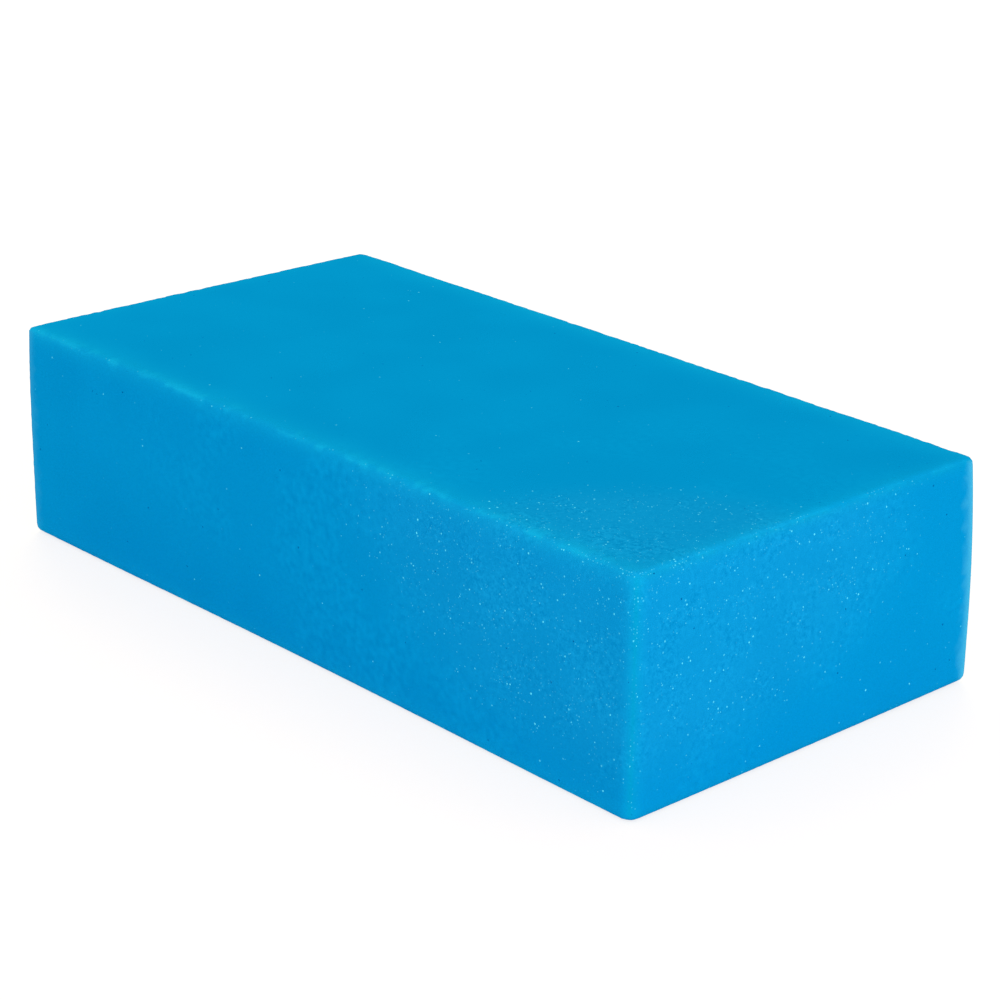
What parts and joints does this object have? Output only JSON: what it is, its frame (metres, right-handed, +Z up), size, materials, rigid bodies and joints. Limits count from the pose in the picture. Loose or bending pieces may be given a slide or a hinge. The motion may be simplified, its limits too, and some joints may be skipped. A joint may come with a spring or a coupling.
{
  "type": "grooming sponge",
  "caption": "Rectangular block of fine-pored foam with softly rounded edges, a flat base and a slightly crowned top, for washing and grooming.",
  "frame": {"origin": "middle of the flat base, at the bottom centre of the block's box", "axes": "+X along the length, +Y along the width, +Z up through the thickness"},
  "size_m": [0.2, 0.0996, 0.0505],
  "materials": {
    "foam": "matte bright blue open-cell foam with fine pores and tiny glinting cell walls"
  },
  "bodies": {
    "root": {"sponge": "foam"}
  },
  "joints": []
}
